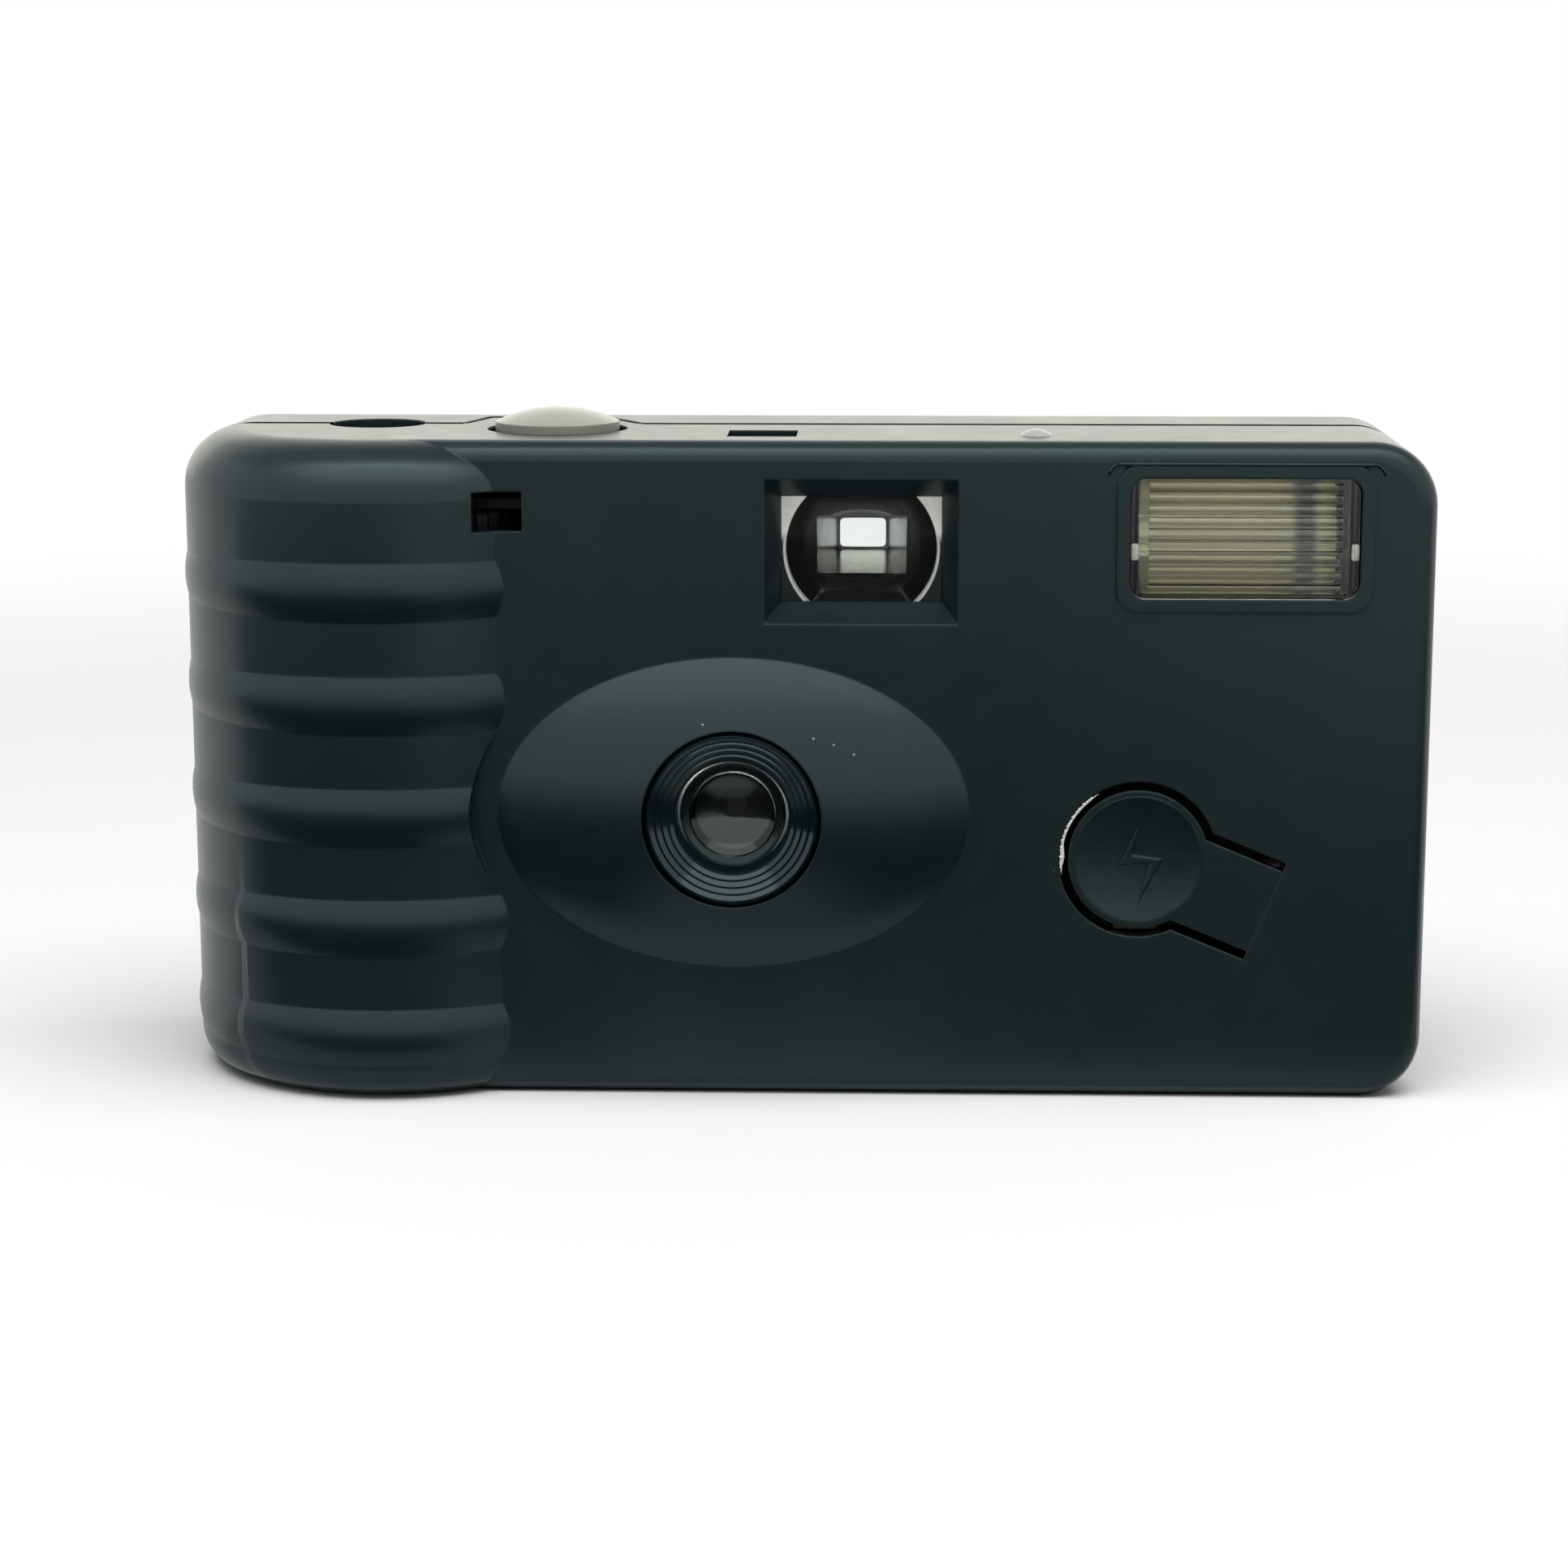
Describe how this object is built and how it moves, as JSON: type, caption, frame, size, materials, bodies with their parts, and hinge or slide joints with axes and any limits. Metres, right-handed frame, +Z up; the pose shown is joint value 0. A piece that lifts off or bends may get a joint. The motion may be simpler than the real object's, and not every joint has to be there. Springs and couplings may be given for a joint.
{
  "type": "disposable film camera",
  "caption": "Single-use 35 mm film camera with ribbed grip, oval lens dome, finder, built-in flash, press-to-charge tab, sprung shutter button and thumb-wheel film winding.",
  "frame": {"origin": "on the base plane, under the middle of the bounding box", "axes": "+X from the grip towards the flash, +Y from the lens towards the back, +Z up"},
  "size_m": [0.1164, 0.0323, 0.063],
  "materials": {
    "cover_black": "moulded polystyrene, fine satin grain, blue-green black",
    "inner_black": "moulded black plastic, matt",
    "gloss_black": "polished black plastic",
    "button_grey": "moulded warm grey plastic, satin gloss",
    "clear_plastic": "clear moulded acrylic",
    "tube_glass": "glass envelope",
    "spring_steel": "bare spring steel and tinplate",
    "blade_black": "thin blackened metal sheet",
    "reflector_metal": "bright rolled aluminium sheet",
    "contact_brass": "bare brass leaf",
    "film_base": "developed-brown film base",
    "board_brown": "resin-bonded paper board",
    "component_case": "moulded component cases",
    "can_metal": "sleeved metal cans, density close to that of the filled cans",
    "core_iron": "ferrite core with wound wire"
  },
  "bodies": {
    "body": {"front_cover": "cover_black", "back_cover": "cover_black", "main_chassis": "inner_black", "mechanism_deck": "inner_black", "button_spring": "spring_steel", "lens_ring": "gloss_black", "taking_lens": "clear_plastic", "lens_holder": "inner_black", "shutter_spring": "spring_steel", "striker_spring": "spring_steel", "cartridge_shell": "spring_steel", "film_strip": "film_base", "finder_front_lens": "clear_plastic", "finder_eye_lens": "clear_plastic", "finder_frame": "inner_black", "flash_window": "clear_plastic", "flash_reflector": "reflector_metal", "flash_tube": "tube_glass", "circuit_board": "board_brown", "main_capacitor": "can_metal", "transformer": "core_iron", "trigger_coil": "component_case", "power_transistor": "component_case", "board_resistors": "component_case", "ready_lamp": "tube_glass", "ready_light": "clear_plastic", "charge_contact": "contact_brass", "sync_contact": "contact_brass", "battery": "can_metal", "battery_plus_contact": "spring_steel", "battery_minus_contact": "spring_steel"},
    "button": {"shutter_button": "button_grey"},
    "wheel": {"thumb_wheel": "inner_black", "cartridge_spool": "inner_black"},
    "sprocket_drum": {"sprocket": "inner_black"},
    "supply": {"supply_spool": "inner_black", "film_roll": "film_base"},
    "counter": {"counter_dial": "gloss_black"},
    "tab": {"flash_charge_tab": "cover_black"},
    "striker": {"striker_lever": "spring_steel"},
    "blade": {"shutter_blade": "blade_black"},
    "meter": {"metering_lever": "spring_steel"},
    "pawl": {"wind_pawl": "inner_black"},
    "door": {"film_door": "cover_black"}
  },
  "joints": [
    {"name": "button_press", "type": "slide", "parent": "body", "child": "button", "axis": [0, 0, -1], "range_m": [0, 0.0014], "stiffness_N_per_m": 500, "springref_m": -0.001, "deforming": ["button_spring"]},
    {"name": "wheel_wind", "type": "hinge", "parent": "body", "child": "wheel", "pos_m": [-0.0395, 0.00165, 0.0518], "axis": [0, 0, 1], "continuous": true},
    {"name": "sprocket_turn", "type": "hinge", "parent": "body", "child": "sprocket_drum", "pos_m": [-0.0205, 0.00705, 0.047], "axis": [0, 0, 1], "continuous": true},
    {"name": "supply_turn", "type": "hinge", "parent": "body", "child": "supply", "pos_m": [0.0304, 0.00435, 0.0268], "axis": [0, 0, 1], "continuous": true},
    {"name": "counter_turn", "type": "hinge", "parent": "body", "child": "counter", "pos_m": [-0.035, 0.00415, 0.0559], "axis": [0, 0, 1], "continuous": true},
    {"name": "tab_press", "type": "hinge", "parent": "body", "child": "tab", "pos_m": [0.04338, -0.01065, 0.01784], "axis": [-0.3827, 0, -0.9239], "range_deg": [0, 6], "stiffness_Nm_per_rad": 0.15, "springref_deg": -1.15},
    {"name": "striker_swing", "type": "hinge", "parent": "body", "child": "striker", "pos_m": [-0.0135, 0.00515, 0.0486], "axis": [0, 0, -1], "range_deg": [0, 22], "stiffness_Nm_per_rad": 0.003, "springref_deg": -11.46},
    {"name": "blade_swing", "type": "hinge", "parent": "body", "child": "blade", "pos_m": [-0.015, -0.00445, 0.04], "axis": [0, -1, 0], "range_deg": [0, 25]},
    {"name": "meter_swing", "type": "hinge", "parent": "body", "child": "meter", "pos_m": [-0.0149, 0.01075, 0.0502], "axis": [0, 0, 1], "range_deg": [-6, 0], "stiffness_Nm_per_rad": 0.003, "springref_deg": 5.73},
    {"name": "pawl_swing", "type": "hinge", "parent": "body", "child": "pawl", "pos_m": [-0.0195, 0.00015, 0.0502], "axis": [0, 0, 1], "range_deg": [0, 8], "stiffness_Nm_per_rad": 0.003, "springref_deg": -5.73},
    {"name": "door_swing", "type": "hinge", "parent": "body", "child": "door", "pos_m": [-0.0395, 0.01455, 0], "axis": [1, 0, 0], "range_deg": [0, 90]}
  ],
  "couplings": [
    {"joint": "sprocket_turn", "follows": "wheel_wind", "ratio": 1.24},
    {"joint": "supply_turn", "follows": "wheel_wind", "ratio": 0.872},
    {"joint": "counter_turn", "follows": "wheel_wind", "ratio": -0.0413},
    {"joint": "blade_swing", "follows": "striker_swing", "ratio": 1.13}
  ]
}
